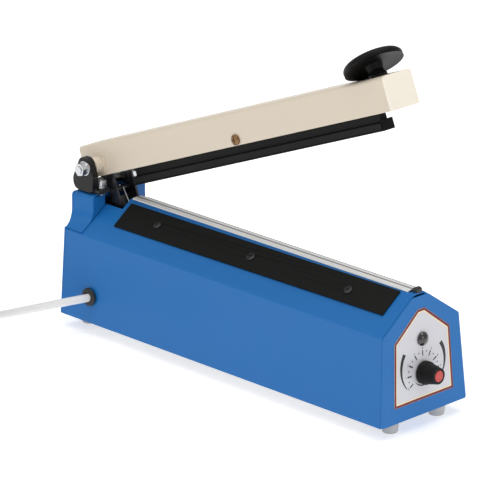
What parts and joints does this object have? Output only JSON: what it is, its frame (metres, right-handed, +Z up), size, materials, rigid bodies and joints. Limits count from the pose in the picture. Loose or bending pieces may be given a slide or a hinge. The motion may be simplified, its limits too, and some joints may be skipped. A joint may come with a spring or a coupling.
{
  "type": "impulse heat sealer",
  "caption": "Tabletop impulse heat sealer: long sheet-metal body with a sealing line on its ridge, a hinged pressure arm with a mushroom handle, a timer dial and a mains cord.",
  "frame": {"origin": "on the surface the feet stand on, under the middle of the machine's bounding box without its cord, the arm open", "axes": "+X along the body towards the control panel, +Z up; the mains cord leaves on -Y near the hinge"},
  "size_m": [0.4204, 0.2034, 0.2494],
  "materials": {
    "blue_paint": "smooth gloss enamel",
    "zinc": "bright zinc",
    "rubber_grey": "moulded",
    "black_strip": "fine satin",
    "dark_screw": "blackened",
    "label": "printed laminate",
    "lamp_lens": "polished",
    "black_plastic": "moulded",
    "knob_black": "moulded",
    "knob_red": "moulded",
    "board": "fibreglass",
    "components": "moulded",
    "core": "laminated",
    "coil": "taped winding",
    "nylon": "moulded",
    "wire": "insulated",
    "aluminium": "anodised",
    "bakelite": "moulded",
    "tape": "woven",
    "nichrome": "oxidised",
    "ptfe": "coated glass cloth",
    "brass": "plain",
    "red_button": "moulded",
    "black_rubber": "moulded",
    "cord_white": "extruded",
    "black_enamel": "satin enamel",
    "dark_steel": "oiled",
    "spring_steel": "drawn wire",
    "beige_paint": "smooth enamel",
    "cream_plastic": "moulded",
    "bar_black": "anodised black",
    "silicone": "moulded",
    "bronze_screw": "passivated",
    "handle_black": "moulded"
  },
  "bodies": {
    "base": {"body_shell": "blue_paint", "front_plate": "blue_paint", "rear_plate": "blue_paint", "hinge_tower": "blue_paint", "base_plate": "zinc", "base_screws": "zinc", "rubber_feet": "rubber_grey", "guard_strip_near": "black_strip", "guard_strip_far": "black_strip", "guard_screws": "dark_screw", "label_plate": "label", "indicator_lens": "lamp_lens", "indicator_body": "black_plastic", "timer_potentiometer": "zinc", "potentiometer_nut": "zinc", "timer_board": "board", "board_components": "components", "board_standoffs": "zinc", "transformer_core": "core", "transformer_coil": "coil", "transformer_strap": "zinc", "fuse_holder": "black_plastic", "terminal_block": "nylon", "inner_wiring": "wire", "seal_bar": "aluminium", "bar_insulators": "bakelite", "insulating_tape": "tape", "heating_element": "nichrome", "ptfe_cloth": "ptfe", "element_terminals": "brass", "end_clamp": "black_plastic", "microswitch": "black_plastic", "cord_grommet": "black_rubber", "cord_clamp": "black_plastic", "mains_cord": "cord_white", "cord_coil": "cord_white", "cord_tail": "cord_white", "cord_tie": "black_plastic", "plug_body": "cord_white", "plug_pins": "zinc", "hinge_bracket": "black_enamel", "bracket_bolts": "zinc", "bracket_nuts": "zinc", "pivot_bolt": "zinc", "pivot_nut": "zinc", "pivot_sleeve": "dark_steel", "spring_rod": "zinc", "return_spring": "spring_steel"},
    "timer_dial": {"timer_knob": "knob_black", "knob_cap": "knob_red", "potentiometer_shaft": "zinc"},
    "pressure_arm": {"arm_channel": "beige_paint", "arm_end_cap": "cream_plastic", "arm_bushes": "nylon", "arm_tongue": "dark_steel", "pressure_bar": "bar_black", "silicone_pad": "silicone", "arm_screw": "bronze_screw", "handle": "handle_black"},
    "switch_plunger": {"microswitch_plunger": "red_button"}
  },
  "joints": [
    {"name": "arm_hinge", "type": "hinge", "parent": "base", "child": "pressure_arm", "pos_m": [-0.1427, 0, 0.1123], "axis": [0, 1, 0], "range_deg": [0, 21.9], "stiffness_Nm_per_rad": 1.6, "springref_deg": -34.38, "deforming": ["return_spring"]},
    {"name": "timer_dial_turn", "type": "hinge", "parent": "base", "child": "timer_dial", "pos_m": [0.14816, 0, 0.03745], "axis": [0.9983, 0, 0.0576], "range_deg": [-135, 135]},
    {"name": "switch_press", "type": "slide", "parent": "base", "child": "switch_plunger", "axis": [-1, 0, 0], "range_m": [0, 0.0015]}
  ],
  "couplings": [
    {"joint": "switch_press", "follows": "arm_hinge", "m_per_rad": 0.0039}
  ]
}
